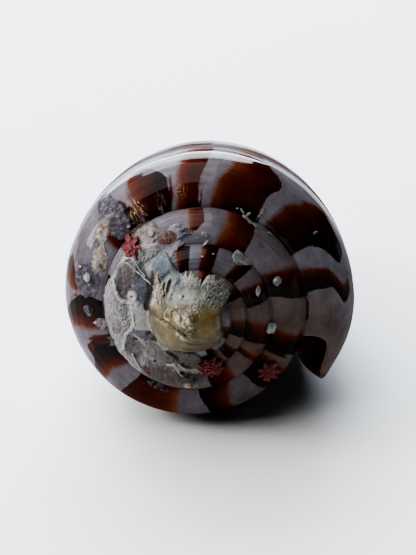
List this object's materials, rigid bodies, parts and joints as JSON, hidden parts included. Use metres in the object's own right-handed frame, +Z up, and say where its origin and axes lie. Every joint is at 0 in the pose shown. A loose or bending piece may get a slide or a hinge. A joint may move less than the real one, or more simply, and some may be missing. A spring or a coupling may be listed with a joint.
{
  "type": "cone shell",
  "caption": "Spiral cone shell lying on its aperture: low stepped spire, rounded shoulder, body tapering to a narrow open front, spire overgrown with lime, sponge-like and red crusts.",
  "frame": {"origin": "middle of the bottom of the bounding box, on the surface that the shell lies on", "axes": "+Z up as the shell lies on its aperture; -Y the way the spire faces; +Y towards the narrow front end; +X to the right of someone who looks at the spire, on the side of the outer lip"},
  "size_m": [0.0254, 0.0442, 0.0232],
  "materials": {
    "shell": "polished natural shell, lilac white with red-brown blotches",
    "lime": "matt grey-white lime crust",
    "olive_growth": "waxy olive-yellow growth, granular at its edge",
    "red_growth": "matt coral-red crust of fine lobes",
    "sand": "worn lime sand"
  },
  "bodies": {
    "root": {"cone_shell": "shell", "lime_crust": "lime", "apex_growth": "olive_growth", "red_growth_upper": "red_growth", "red_growth_lower": "red_growth", "red_growth_edge": "red_growth", "sand_grain_1": "sand", "sand_grain_2": "sand", "sand_grain_3": "sand", "sand_grain_4": "sand", "sand_grain_5": "sand"}
  },
  "joints": []
}
